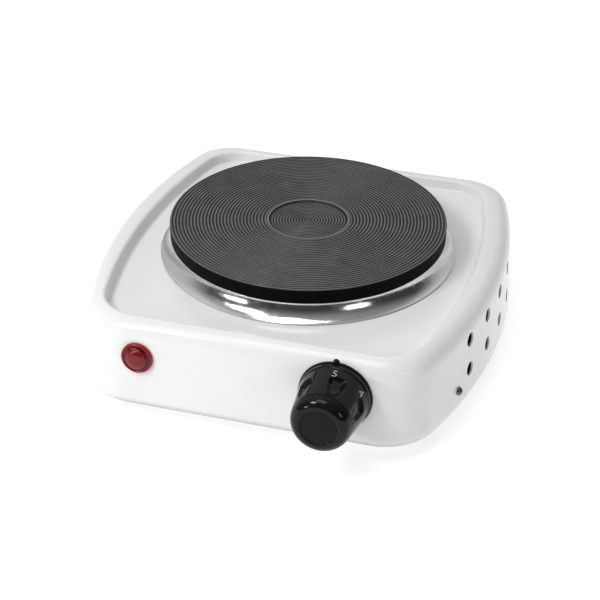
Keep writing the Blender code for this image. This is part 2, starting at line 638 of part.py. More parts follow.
def make_mains_entry():
    turned("cord_gland", "black_plastic",
           [(3.8, GLAND_LENGTH), (6.4, GLAND_LENGTH), (7.4, 3.6), (9.0, 1.2), (9.0, 0.3), (6.2, 0.3),
            (6.2, -1.5), (8.6, -1.5), (8.6, -3.0), (7.0, -6.0), (3.8, -6.0)], GLAND_AXIS, 12, closed=True)
    saddle = [(-14, 6.5), (-7, 6.5)] + [(5 * math.cos(a), 8.5 + 5 * math.sin(a)) for a in
                                        [math.radians(angle) for angle in (180, 144, 108, 72, 36, 0)]]
    clamp = strip("cord_clamp", "steel", saddle + [(7, 6.5), (14, 6.5)], 8, 0.8,
                  at=(GLAND_X, CORD_CLAMP_Y, 0))
    drill(clamp, "cord_clamp_holes", 1.9, [((x, 0, 5), (x, 0, 8)) for x in (-11, 11)], 10)
    for i, x in enumerate((-11, 11)):
        make_screw("clamp_screw_%d" % (i + 1), PLATE_AXIS, (GLAND_X + x, CORD_CLAMP_Y, 7.2), (0, 0, 1),
                   2.8, 1.5, 4.5)
    x, y = TERMINAL_BLOCK
    block = box("mains_terminal_block", "ceramic", (x - 14, y - 9, 6.0), (x + 14, y + 9, 18), bevel=0.8)
    drill(block, "terminal_screw_wells", 1.8,
          [((x + dx, y, 12), (x + dx, y, 20)) for dx in (-8, 0, 8)], 10)
    make_screw("earth_screw", PLATE_AXIS, (*EARTH_SCREW, 6.1), (0, 0, 1), 3.2, 1.6, 4.0)


def make_wires():
    """Sleeved wires; each stops just short of the terminal it is joined to."""
    block_x, block_y = TERMINAL_BLOCK
    block_front = block_y - 9.5
    terminal_foot = 35.5
    fixed_end = KNOB_MATRIX @ Vector((-18.5, 0, -9.6))
    arm_end = KNOB_MATRIX @ Vector((-19.0, 0, ARM_DEPTH))
    lamp_back = [LAMP_MATRIX @ Vector((x, 0, -15.5)) for x in (-1.5, 1.5)]
    tube("live_wire", "brown_sleeve", smooth_path([
        (block_x - 8, block_front, 12), (block_x - 8, block_front - 4, 11.8), (44, 45, 9.5), (44, 20, 8.5),
        (42, -20, 8.5), (36, -60, 10), (24.5, -86, 20), (21.2, -100, 31.5), (25.2, -105, 36.9),
        fixed_end]), 1.1)
    tube("switched_wire", "brown_sleeve", smooth_path([
        arm_end, (22.2, -97.5, 39.0), (10, -84, 40.5), (-2, -60, 39), (-12, -35, 35), (-17, 0, 32.5),
        (-15, 26, 30.5), (-12.6, 35, 32), (-PLATE_TERMINAL_PITCH, PLATE_TERMINAL_Y, terminal_foot)]), 1.1)
    tube("neutral_wire", "blue_sleeve", smooth_path([
        (block_x, block_front, 12), (block_x, block_front - 4, 12.2), (38, 46, 18), (18, 39, 27),
        (13, 37.5, 31.5),
        (PLATE_TERMINAL_PITCH, PLATE_TERMINAL_Y, terminal_foot)]), 1.1)
    tube("earth_wire", "green_sleeve", smooth_path([
        (block_x + 8, block_front, 12), (block_x + 8, block_front - 4, 11.6), (67, 52, 9.4),
        (EARTH_SCREW[0] - 7, EARTH_SCREW[1] - 0.5, 8.6), (EARTH_SCREW[0] - 3.8, EARTH_SCREW[1], 8.6)]), 1.1)
    tube("lamp_lead_1", "white_sleeve", smooth_path([
        lamp_back[0], (-59, -86, 34), (-47, -50, 28), (-31, 0, 26), (-13, 27, 25.5), (-2.5, 35.5, 30.5),
        (0, PLATE_TERMINAL_Y, terminal_foot)]), 0.8)
    tube("lamp_lead_2", "white_sleeve", smooth_path([
        lamp_back[1], (-53, -84, 30), (-32, -46, 16), (-2, 0, 11), (18, 42, 10.5), (28, 66, 11),
        (block_x - 14.5, block_y, 12)]), 0.8)


make_housing()
make_base_plate()
make_feet()
make_side_fixings()
make_hot_plate()
make_trim_ring()
make_heaters()
make_plate_underside()
make_thermostat()
make_knob()
make_lamp()
make_mains_entry()
make_wires()
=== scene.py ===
"""Looks for the single-ring electric hot plate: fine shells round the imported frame, finishes and a studio."""
import json
import math

import bmesh
import bpy
import numpy as np
from mathutils import Matrix, Vector

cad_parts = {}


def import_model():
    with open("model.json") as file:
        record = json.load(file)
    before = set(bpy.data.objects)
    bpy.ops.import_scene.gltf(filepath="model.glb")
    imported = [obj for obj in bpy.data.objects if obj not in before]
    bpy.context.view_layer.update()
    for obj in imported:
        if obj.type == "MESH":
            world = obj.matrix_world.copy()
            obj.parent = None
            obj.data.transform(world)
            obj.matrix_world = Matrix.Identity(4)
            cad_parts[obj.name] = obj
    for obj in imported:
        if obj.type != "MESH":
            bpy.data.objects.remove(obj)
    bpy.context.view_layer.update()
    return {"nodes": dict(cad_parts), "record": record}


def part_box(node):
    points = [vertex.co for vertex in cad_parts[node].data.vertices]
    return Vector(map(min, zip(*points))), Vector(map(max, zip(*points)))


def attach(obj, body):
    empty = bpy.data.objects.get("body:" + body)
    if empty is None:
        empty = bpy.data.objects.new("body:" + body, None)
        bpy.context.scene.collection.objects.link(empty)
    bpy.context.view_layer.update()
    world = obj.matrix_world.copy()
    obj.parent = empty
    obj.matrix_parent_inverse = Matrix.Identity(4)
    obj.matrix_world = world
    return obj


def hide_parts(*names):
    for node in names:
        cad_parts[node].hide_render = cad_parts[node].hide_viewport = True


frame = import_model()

MM = 0.001

# The frame's own dimensions, in millimetres from the plate's axis and the table top
FOOT_HEIGHT = 6.0
RIM_HEIGHT = 58.5
TRAY_HEIGHT = 52.5
HALF_WIDTH = 112.7
FRONT_DEPTH = 116.1
BACK_DEPTH = 105.5
SIDE_BOW_RADIUS = 289.0
FRONT_CORNER = 30.2
BACK_CORNER = 25.8
TRAY_HALF_WIDTH = 98.2
TRAY_FRONT = 105.6
TRAY_BACK = 94.0
TRAY_BOW_RADIUS = 340.0
TRAY_BOW_Y = -8.0
TRAY_FRONT_CORNER = 25.2
TRAY_BACK_CORNER = 23.2
RIM_CORNER_CUT = 0.6
CREST_ROUND = 2.2
TRAY_ROUND = 2.0
TRAY_WALL_RUN = 0.9
WALL_DRAFT = math.radians(2.5)
RIM_ROUND = 10.0
LOWER_ROUND = 8.0
SHEET = 1.0
TRAY_HOLE_RADIUS = 74.5
HOLE_ROUND, HOLE_LIP_FOOT = 0.7, 50.2
PLATE_TOP = 71.0
PLATE_RADIUS = 77.5
HUB_RADIUS = 22.3
KNOB_X, KNOB_HEIGHT, KNOB_LENGTH = 48.6, 37.5, 32.8
KNOB_FRONT_RADIUS, SKIRT_RADIUS, BEZEL_RADIUS = 16.4, 19.1, 19.6
FLUTE_CENTRE, FLUTE_RADIUS = 21.3, 6.4
LAMP_X, LAMP_HEIGHT = -59.0, 39.2
GLAND_X, GLAND_HEIGHT, GLAND_LENGTH = 55.0, 24.0, 4.2
VENT_RADIUS = 4.0
VENT_HEIGHTS = (27.5, 45.5)
VENT_FRONT_Y, VENT_PITCH, VENTS_PER_ROW = -56.5, 26.5, 4
SIDE_SCREW_Y, SIDE_SCREW_HEIGHT = -71.0, 21.8
VENT_REACH = 130           # half the length of the rod that cuts a pair of vents
FEET = {"front_right": (80.0, -84.0), "front_left": (-80.0, -84.0),
        "back_right": (77.0, 77.0), "back_left": (-77.0, 77.0)}


# ---------------------------------------------------------------- frames, in millimetres

def middle(node):
    low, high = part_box(node)
    return (low + high) / 2


PLATE = Matrix.Translation((middle("hot_plate").x, middle("hot_plate").y, 0)) @ Matrix.Scale(MM, 4)


def wall_lean(height):
    return math.tan(WALL_DRAFT) * (height - FOOT_HEIGHT - LOWER_ROUND)


def panel(x, height, side):
    """A point on the front (-1) or back (1) panel, local Z straight out of it."""
    depth = (FRONT_DEPTH if side < 0 else BACK_DEPTH) - wall_lean(height)
    turn = Matrix.Rotation(-side * (math.pi / 2 - WALL_DRAFT), 4, "X")
    return Matrix.Translation((x, side * depth, height)) @ turn


def side_panel(side):
    """The side screw's place on the right (1) or left (-1) wall, local Z straight out of it."""
    radius = SIDE_BOW_RADIUS - wall_lean(SIDE_SCREW_HEIGHT)
    bow = math.asin(SIDE_SCREW_Y / radius)
    x = HALF_WIDTH - SIDE_BOW_RADIUS + radius * math.cos(bow)
    out = Vector((side * math.cos(bow), math.sin(bow), 0))
    turn = out.to_track_quat("Z", "Y").to_matrix().to_4x4()
    return Matrix.Translation((side * x, SIDE_SCREW_Y, SIDE_SCREW_HEIGHT)) @ turn


KNOB_LOCAL = panel(KNOB_X, KNOB_HEIGHT, -1)
LAMP_LOCAL = panel(LAMP_X, LAMP_HEIGHT, -1)
GLAND_LOCAL = panel(GLAND_X, GLAND_HEIGHT, 1)
KNOB = PLATE @ KNOB_LOCAL
LAMP = PLATE @ LAMP_LOCAL
GLAND = PLATE @ GLAND_LOCAL


# ---------------------------------------------------------------- materials

class Finish:
    """A Principled material with noise layers in object space, where one unit is a millimetre."""

    def __init__(self, name, colour, roughness, metallic=0.0, **sockets):
        self.material = bpy.data.materials.new(name)
        self.material.use_nodes = True
        self.tree = self.material.node_tree
        self.shader = self.tree.nodes["Principled BSDF"]
        self.set(self.shader, {"Base Color": (*colour, 1.0), "Roughness": roughness, "Metallic": metallic,
                               **sockets})
        place = self.node("ShaderNodeTexCoord").outputs["Object"]
        self.millimetres = self.mapped(place, scale=(1000, 1000, 1000))

    def set(self, node, values):
        for socket, value in values.items():
            if isinstance(value, bpy.types.NodeSocket):
                self.tree.links.new(value, node.inputs[socket])
            else:
                node.inputs[socket].default_value = value

    def node(self, kind, inputs=None, **settings):
        made = self.tree.nodes.new(kind)
        for key, value in settings.items():
            setattr(made, key, value)
        self.set(made, inputs or {})
        return made

    def mapped(self, vector, scale=(1, 1, 1), origin=(0, 0, 0), turn=(0, 0, 0)):
        return self.node("ShaderNodeMapping", {"Vector": vector, "Scale": scale, "Location": origin,
                                               "Rotation": turn}).outputs["Vector"]

    def noise(self, size, detail=3.0, stretch=(1, 1, 1)):
        """Noise whose features are about size millimetres across."""
        stretched = self.mapped(self.millimetres, scale=stretch)
        return self.node("ShaderNodeTexNoise", {"Vector": stretched, "Scale": 1 / size,
                                                "Detail": detail}).outputs["Fac"]

    def cells(self, size, output="Distance"):
        return self.node("ShaderNodeTexVoronoi", {"Vector": self.millimetres,
                                                  "Scale": 1 / size}).outputs[output]

    def span(self, factor, low, high, start=0.3, end=0.7):
        return self.node("ShaderNodeMapRange", {"Value": factor, "From Min": start, "From Max": end,
                                                "To Min": low, "To Max": high}).outputs["Result"]

    def maths(self, operation, first, second=0.0):
        return self.node("ShaderNodeMath", {0: first, 1: second}, operation=operation).outputs[0]

    def band(self, value, centre, reach):
        """One within reach of a centre value, nought outside."""
        return self.maths("LESS_THAN", self.maths("ABSOLUTE", self.maths("SUBTRACT", value, centre)), reach)

    def colours(self, factor, stops):
        """Base colour from a ramp of (position, colour) stops."""
        ramp = self.node("ShaderNodeValToRGB", {"Fac": factor})
        elements = ramp.color_ramp.elements
        while len(elements) < len(stops):
            elements.new(0.5)
        for element, (position, colour) in zip(elements, stops):
            element.position = position
            element.color = (*colour, 1.0)
        self.set(self.shader, {"Base Color": ramp.outputs["Color"]})

    def roughness(self, factor, low, high):
        self.set(self.shader, {"Roughness": self.span(factor, low, high)})

    def bump(self, height, microns, strength=1.0):
        """Adds a layer of relief; each call lies on top of the last."""
        relief = self.node("ShaderNodeBump", {"Height": height, "Distance": microns * 1e-6,
                                              "Strength": strength})
        below = self.shader.inputs["Normal"]
        if below.is_linked:
            self.tree.links.new(below.links[0].from_socket, relief.inputs["Normal"])
        self.set(self.shader, {"Normal": relief.outputs["Normal"]})


def shades(colour, spread):
    """Two colours around one, darker and lighter by a share."""
    return [(0.3, tuple(c * (1 - spread) for c in colour)),
            (0.7, tuple(min(1, c * (1 + spread)) for c in colour))]


PAINTED_SHADE_HEIGHTS = (FOOT_HEIGHT + 0.8, FOOT_HEIGHT + 6.8)        # heights over which painted shade darkens the housing's lower edge


def enamel():
    """White vitreous enamel, with painted shade: dark grey and less glossy round the housing's lower edge."""
    made = Finish("enamel", (0.83, 0.84, 0.84), 0.16, **{"Coat Roughness": 0.06})
    height = made.node("ShaderNodeSeparateXYZ", {"Vector": made.millimetres}).outputs["Z"]
    # painted shade: nought at the foot of the lower round, so the enamel there is dark grey with less coat and
    # gloss
    unshaded = made.span(height, 0.0, 1.0, *PAINTED_SHADE_HEIGHTS)
    made.colours(made.maths("MULTIPLY", unshaded, made.span(made.noise(14, 4), 0.96, 1.0)),
                 [(0.0, (0.26, 0.265, 0.265)), (0.96, (0.777, 0.787, 0.785)), (1.0, (0.791, 0.801, 0.799))])
    made.set(made.shader, {"Coat Weight": made.span(unshaded, 0.0, 0.2, 0, 1),
                           "Specular IOR Level": made.span(unshaded, 0.05, 0.28, 0, 1)})
    made.roughness(made.noise(5, 5), 0.13, 0.20)
    made.bump(made.noise(1.6, 2), 6)
    made.bump(made.noise(22, 1), 40, 0.5)
    return made.material


RING_PITCH, RING_START, RING_LAND, RING_DEPTH = 1.885, HUB_RADIUS + 1.3, 0.52, 0.38
HUB_PITCH, HUB_START, HUB_DEPTH = 1.6, 0.8, 1.0
BLACK_EDGE_DEPTH = 1.3     # below the plate's top, where its blackened edge starts


def cast_iron():
    """Turned cast iron: the lands between its grooves are coloured brighter than the grooves; the hub's step
    wall carries painted shade and its edge a painted highlight.
    """
    made = Finish("cast_iron", (0.04, 0.04, 0.041), 0.5, **{"Specular IOR Level": 0.4})
    centre = middle("hot_plate") * -1000
    flat = made.mapped(made.millimetres, origin=(centre.x, centre.y, 0))
    level = made.node("ShaderNodeVectorMath", {0: flat, 1: (1, 1, 0)}, operation="MULTIPLY").outputs["Vector"]
    radius = made.node("ShaderNodeVectorMath", {0: level}, operation="LENGTH").outputs["Value"]
    wander = made.maths("MULTIPLY", made.maths("SUBTRACT", made.noise(7, 3), 0.5), 0.25)
    radius = made.maths("ADD", radius, wander)
    lands = []
    for start, pitch in ((RING_START, RING_PITCH), (HUB_START, HUB_PITCH)):
        phase = made.maths("FRACT", made.maths("DIVIDE", made.maths("SUBTRACT", radius, start), pitch))
        centred = made.maths("ABSOLUTE", made.maths("SUBTRACT", phase, RING_LAND / 2))
        lands.append(made.span(centred, 1.0, 0.0, 0.16, 0.34))
    outside = made.maths("GREATER_THAN", radius, HUB_RADIUS)
    inside = made.maths("SUBTRACT", 1.0, outside)
    land = made.maths("ADD", made.maths("MULTIPLY", lands[0], outside),
                      made.maths("MULTIPLY", lands[1], inside))
    # painted shade: the band over the hub's step wall is coloured as dark as a groove
    step = made.band(radius, HUB_RADIUS - 0.85, 0.8)
    # painted highlight: the band on the edge just outside the step is coloured bright
    lip = made.band(radius, HUB_RADIUS + 0.4, 0.45)
    land = made.maths("MULTIPLY", made.maths("MULTIPLY", land, 0.72), made.maths("SUBTRACT", 1.0, step))
    land = made.maths("ADD", land, made.maths("MULTIPLY", lip, 0.8))
    grain = made.noise(0.35, 6)
    worn = made.maths("MULTIPLY", land, made.span(made.noise(9, 5), 0.75, 1.1))
    made.colours(made.maths("MULTIPLY", worn, made.span(grain, 0.85, 1.1)),
                 [(0.0, (0.002, 0.002, 0.002)), (0.72, (0.125, 0.125, 0.126)), (1.0, (0.22, 0.22, 0.22))])
    made.roughness(made.noise(2.5, 6), 0.5, 0.64)
    made.bump(grain, 30)
    return made.material


def blackened_iron():
    """The plate's edge: cast and blackened, with almost no gloss."""
    made = Finish("blackened_iron", (0.006, 0.006, 0.006), 0.6, **{"Specular IOR Level": 0.05})
    made.colours(made.noise(6, 5), [(0.3, (0.001, 0.001, 0.001)), (0.7, (0.003, 0.003, 0.003))])
    made.roughness(made.noise(2, 5), 0.5, 0.68)
    made.bump(made.noise(0.4, 5), 22)
    return made.material


def polished_steel():
    made = Finish("polished_steel", (0.76, 0.76, 0.77), 0.14, 1.0)
    made.colours(made.noise(12, 4), shades((0.76, 0.76, 0.77), 0.03))
    made.roughness(made.noise(4, 6), 0.11, 0.20)
    made.bump(made.noise(10, 2), 90)
    made.bump(made.noise(0.25, 3, stretch=(0.15, 0.15, 3)), 1.5)
    return made.material


def zinc_steel():
    made = Finish("zinc_steel", (0.55, 0.56, 0.58), 0.36, 1.0)
    spangle = made.cells(3.5, "Color")
    grey = made.node("ShaderNodeSeparateColor", {"Color": spangle}).outputs[0]
    made.colours(grey, [(0.0, (0.46, 0.47, 0.49)), (1.0, (0.62, 0.63, 0.65))])
    made.roughness(made.maths("MULTIPLY", made.noise(1.5, 5), made.span(grey, 0.8, 1.2)), 0.26, 0.46)
    made.bump(made.noise(0.3, 4), 4)
    return made.material


def black_steel():
    made = Finish("black_steel", (0.10, 0.10, 0.105), 0.4, 1.0)
    made.colours(made.noise(1.5, 5), [(0.3, (0.07, 0.07, 0.075)), (0.7, (0.16, 0.16, 0.165))])
    made.roughness(made.noise(0.8, 4), 0.3, 0.5)
    made.bump(made.noise(0.3, 4), 5)
    return made.material


def dark_metal():
    made = Finish("oxidised_wire", (0.30, 0.27, 0.25), 0.45, 1.0)
    made.colours(made.noise(2.2, 5), [(0.3, (0.20, 0.16, 0.14)), (0.55, (0.33, 0.30, 0.28)),
                                      (0.8, (0.22, 0.24, 0.30))])
    made.roughness(made.noise(0.8, 4), 0.35, 0.6)
    made.bump(made.noise(0.25, 4), 6)
    return made.material


def brass():
    made = Finish("brass", (0.78, 0.60, 0.28), 0.3, 1.0)
    made.colours(made.noise(2.5, 5), [(0.3, (0.66, 0.47, 0.20)), (0.7, (0.82, 0.64, 0.31))])
    made.roughness(made.noise(1.2, 5), 0.22, 0.42)
    made.bump(made.noise(0.3, 3, stretch=(0.1, 1, 1)), 4)
    return made.material


def black_gloss(name="black_gloss", level=0.2):
    made = Finish(name, (0.007, 0.007, 0.0075), 0.06, **{"Specular IOR Level": level})
    made.colours(made.noise(6, 4), [(0.3, (0.0040, 0.0040, 0.0043)), (0.7, (0.0075, 0.0075, 0.008))])
    made.roughness(made.noise(2.5, 6), 0.04, 0.11)
    made.bump(made.noise(3.5, 2), 8)
    made.bump(made.noise(0.3, 3), 1.2)
    return made.material


def black_plastic(name="black_plastic", roughness=0.42, level=0.014, gloss=0.3):
    made = Finish(name, (level,) * 3, roughness, **{"Specular IOR Level": gloss})
    made.colours(made.noise(5, 4), shades((level,) * 3, 0.14))
    made.roughness(made.noise(2, 5), roughness - 0.06, roughness + 0.08)
    made.bump(made.cells(0.22), 10)
    return made.material


def red_lens(name="red_lens", colour=(0.20, 0.009, 0.008)):
    made = Finish(name, colour, 0.1, **{"Specular IOR Level": 0.3, "Transmission Weight": 0.15, "IOR": 1.49})
    made.colours(made.noise(2.2, 4), shades(colour, 0.16))
    made.roughness(made.noise(2, 4), 0.06, 0.15)
    made.bump(made.noise(1.5, 2), 8)
    return made.material


def clear_glass():
    made = Finish("clear_glass", (0.95, 0.93, 0.90), 0.03, **{"Transmission Weight": 0.9, "IOR": 1.5})
    made.roughness(made.noise(1.5, 3), 0.02, 0.08)
    made.bump(made.noise(2, 2), 10)
    return made.material


def mineral(name, colour, roughness, pore, depth):
    made = Finish(name, colour, roughness)
    made.colours(made.noise(1.8, 6), shades(colour, 0.10))
    made.roughness(made.noise(1.2, 4), roughness - 0.08, roughness + 0.06)
    made.bump(made.noise(pore, 5), depth)
    return made.material


def rubber():
    made = Finish("rubber", (0.022, 0.022, 0.022), 0.78)
    made.colours(made.noise(2.5, 6), [(0.3, (0.016, 0.016, 0.016)), (0.7, (0.034, 0.033, 0.032))])
    made.roughness(made.noise(1.2, 5), 0.66, 0.88)
    made.bump(made.noise(0.3, 5), 18)
    return made.material


def sleeve(name, colour):
    """Woven glass-fibre sleeving: two crossing sets of threads."""
    made = Finish(name, colour, 0.6, **{"Sheen Weight": 0.3})
    threads = [made.node("ShaderNodeTexWave", {
        "Vector": made.mapped(made.millimetres, turn=(0.6, 0.8, turn)), "Scale": 0.55,
        "Distortion": 0.8, "Detail": 1.0}, bands_direction="X").outputs["Fac"] for turn in (0.7, 2.3)]
    weave = made.maths("MAXIMUM", threads[0], threads[1])
    made.colours(weave, [(0.1, tuple(c * 0.55 for c in colour)),
                         (0.9, tuple(min(1, c * 1.1) for c in colour))])
    made.roughness(weave, 0.5, 0.72)
    made.bump(weave, 60)
    return made.material


def dial_white():
    made = Finish("dial_white", (0.74, 0.74, 0.72), 0.4)
    made.colours(made.noise(0.5, 4), [(0.3, (0.60, 0.60, 0.58)), (0.6, (0.80, 0.80, 0.78))])
    made.bump(made.noise(0.2, 3), 6)
    return made.material


FINISHES = {
    "enamel": enamel(), "cast_iron": cast_iron(), "stainless": polished_steel(), "steel": zinc_steel(),
    "brass": brass(), "black_gloss": black_gloss(), "black_plastic": black_plastic(), "red_lens": red_lens(),
    "glass": clear_glass(), "ceramic": mineral("steatite", (0.80, 0.77, 0.69), 0.6, 0.25, 12),
    "magnesia": mineral("magnesia", (0.58, 0.54, 0.48), 0.9, 0.5, 60), "resistance_wire": dark_metal(),
    "rubber": rubber(), "brown_sleeve": sleeve("brown_sleeve", (0.22, 0.09, 0.04)),
    "blue_sleeve": sleeve("blue_sleeve", (0.04, 0.12, 0.36)),
    "green_sleeve": sleeve("green_sleeve", (0.08, 0.33, 0.10)),
    "white_sleeve": sleeve("white_sleeve", (0.74, 0.72, 0.68)),
}
CAP_BLACK = black_plastic("cap_black", 0.38, 0.009, 0.1)
EDGE_BLACK = blackened_iron()
BLACK_STEEL = black_steel()
GROUND_COAT = mineral("ground_coat", (0.045, 0.048, 0.052), 0.6, 0.6, 8)
# painted shade: a less glossy copy of the knob's black for the flute faces
FLUTE_PAINTED_SHADE = black_gloss("flute_painted_shade", 0.05)
# painted shade: a darker copy of the lens red for its valley
LENS_VALLEY_PAINTED_SHADE = red_lens("red_lens_valley_painted_shade", (0.075, 0.002, 0.003))
# painted light: a lighter copy of the lens red for its flange
LENS_RIM_PAINTED_LIGHT = red_lens("red_lens_rim_painted_light", (0.34, 0.006, 0.012))
DIAL_WHITE = dial_white()

# Carried-over nodes take the finish of their material slot
for part in frame["record"]["subparts"]:
    node = frame["nodes"][part["node"]]
    for holder in node.material_slots:
        holder.link = "OBJECT"
        holder.material = FINISHES[part["material_slot"]]


# ---------------------------------------------------------------- mesh helpers

def piece(name, points, faces, place, body, finish, node=None, slot=None, sharp=35.0):
    """A named mesh in the row frame from local points; it stands for a CAD node if one is named."""
    shape = bmesh.new()
    corners = [shape.verts.new(place @ Vector(p)) for p in points]
    for face in faces:
        shape.faces.new([corners[i] for i in face])
    return shape_piece(name, shape, body, finish, node, sharp)


def shape_piece(name, shape, body, finish, node=None, sharp=35.0, closed=True):
    bmesh.ops.remove_doubles(shape, verts=shape.verts, dist=1e-6)
    bmesh.ops.dissolve_degenerate(shape, edges=shape.edges, dist=1e-7)
    if closed:
        bmesh.ops.recalc_face_normals(shape, faces=shape.faces)
    mesh = bpy.data.meshes.new(name)
    shape.to_mesh(mesh)
    shape.free()
    soften(mesh, sharp)
    made = bpy.data.objects.new(name, mesh)
    bpy.context.scene.collection.objects.link(made)
    mesh.materials.append(FINISHES[finish] if isinstance(finish, str) else finish)
    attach(made, body)
    if node:
        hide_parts(*([node] if isinstance(node, str) else node))
    return made


def soften(mesh, sharp):
    mesh.shade_smooth()
    mesh.set_sharp_from_angle(angle=math.radians(sharp))


def rounded(profile, closed=False, segments=4):
    """A polyline of (radius, height, corner) with each corner rounded by that much."""
    count = len(profile)
    made = []
    for i, entry in enumerate(profile):
        point = Vector(entry[:2])
        size = entry[2] if len(entry) > 2 else 0.0
        ends = not closed and i in (0, count - 1)
        if not size or ends:
            made.append(tuple(point))
            continue
        before = Vector(profile[i - 1][:2]) - point
        after = Vector(profile[(i + 1) % count][:2]) - point
        reach = min(size, before.length * 0.49, after.length * 0.49)
        start, end = point + before.normalized() * reach, point + after.normalized() * reach
        for step in range(segments + 1):
            t = step / segments
            made.append(tuple(start * (1 - t) ** 2 + point * (2 * t * (1 - t)) + end * t ** 2))
    return made


def grid(rings):
    """Points and faces of a skin over closed rings of equal length."""
    width = len(rings[0])
    points = [p for ring in rings for p in ring]
    faces = []
    for row in range(len(rings) - 1):
        for i in range(width):
            j = (i + 1) % width
            a, b = row * width, (row + 1) * width
            faces.append((a + i, a + j, b + j, b + i))
    return points, faces


def turned(profile, steps, closed=False, shrink=None):
    """A lathe shape about local Z; shrink(radius, height, angle) may press its surface in."""
    levels = profile + [profile[0]] if closed else profile
    rings = []
    for radius, height in levels:
        ring = []
        for i in range(steps):
            angle = 2 * math.pi * i / steps
            r = radius if shrink is None else shrink(radius, height, angle)
            ring.append((r * math.cos(angle), r * math.sin(angle), height))
        rings.append(ring)
    return grid(rings)


def rod(shape, radius, start, end):
    """Adds a round bar between two points in millimetres."""
    start, end = Vector(start), Vector(end)
    axis = end - start
    local = Matrix.Translation((start + end) / 2) @ axis.to_track_quat("Z", "Y").to_matrix().to_4x4()
    bmesh.ops.create_cone(shape, cap_ends=True, segments=32, radius1=radius, radius2=radius,
                          depth=axis.length, matrix=PLATE @ local)


def carve(target, shape, crossed=False):
    """Cuts a shape out of a mesh object for good; crossed is for a cutter that meets itself."""
    mesh = bpy.data.meshes.new("cutter")
    shape.to_mesh(mesh)
    shape.free()
    cutter = bpy.data.objects.new("cutter", mesh)
    bpy.context.scene.collection.objects.link(cutter)
    cut = target.modifiers.new("cut", "BOOLEAN")
    cut.operation = "DIFFERENCE"
    cut.solver = "EXACT"
    cut.use_self = crossed
    cut.object = cutter
    apply_modifiers(target)
    bpy.data.objects.remove(cutter)
    soften(target.data, 35)


def apply_modifiers(target):
    bpy.context.view_layer.update()
    view = bpy.context.evaluated_depsgraph_get()
    made = bpy.data.meshes.new_from_object(target.evaluated_get(view), preserve_all_data_layers=True,
                                           depsgraph=view)
    target.modifiers.clear()
    target.data = made


# ---------------------------------------------------------------- housing

def arc(centre, radius, start, end, segments):
    steps = [start + (end - start) * i / segments for i in range(segments + 1)]
    return [(centre[0] + radius * math.cos(a), centre[1] + radius * math.sin(a)) for a in steps]


def bowed_outline(half_width, bow, bow_y, front_end, back_end):
    """A plan in fine steps: bowed sides, straight front and back; each end is a (depth, corner radius)."""
    bow_centre = (half_width - bow, bow_y)
    corners = []
    for (depth, radius), side in ((front_end, -1), (back_end, 1)):
        y = side * (depth - radius)
        x = bow_centre[0] + math.sqrt((bow - radius) ** 2 - (y - bow_y) ** 2)
        corners.append(((x, y), radius, math.atan2(y - bow_y, x - bow_centre[0])))
    (front, front_radius, front_angle), (back, back_radius, back_angle) = corners
    straight = 14
    right = [(front[0] * i / straight, front[1] - front_radius) for i in range(1, straight)]
    right += arc(front, front_radius, -math.pi / 2, front_angle, 22)
    right += arc(bow_centre, bow, front_angle, back_angle, 46)[1:-1]
    right += arc(back, back_radius, back_angle, math.pi / 2, 22)
    right += [(back[0] * (1 - i / straight), back[1] + back_radius) for i in range(1, straight)]
    front_middle = (0.0, front[1] - front_radius)
    back_middle = (0.0, back[1] + back_radius)
    return [front_middle] + right + [back_middle] + [(-x, y) for x, y in reversed(right)]


def outline(offset, corner_cut=0.0):
    """The housing's plan moved outwards by offset."""
    return bowed_outline(HALF_WIDTH + offset, SIDE_BOW_RADIUS + offset, 0.0,
                         (FRONT_DEPTH + offset, FRONT_CORNER - corner_cut),
                         (BACK_DEPTH + offset, BACK_CORNER - corner_cut))


def tray_outline(offset):
    """The inner edge of the rim's crest moved outwards by offset."""
    return bowed_outline(TRAY_HALF_WIDTH + offset, TRAY_BOW_RADIUS + offset, TRAY_BOW_Y,
                         (TRAY_FRONT + offset, TRAY_FRONT_CORNER + offset),
                         (TRAY_BACK + offset, TRAY_BACK_CORNER + offset))


def bend(offset, height, radius, start, end, segments):
    angles = [math.radians(start + (end - start) * i / segments) for i in range(segments + 1)]
    return [(offset + radius * math.cos(a), height + radius * math.sin(a)) for a in angles]


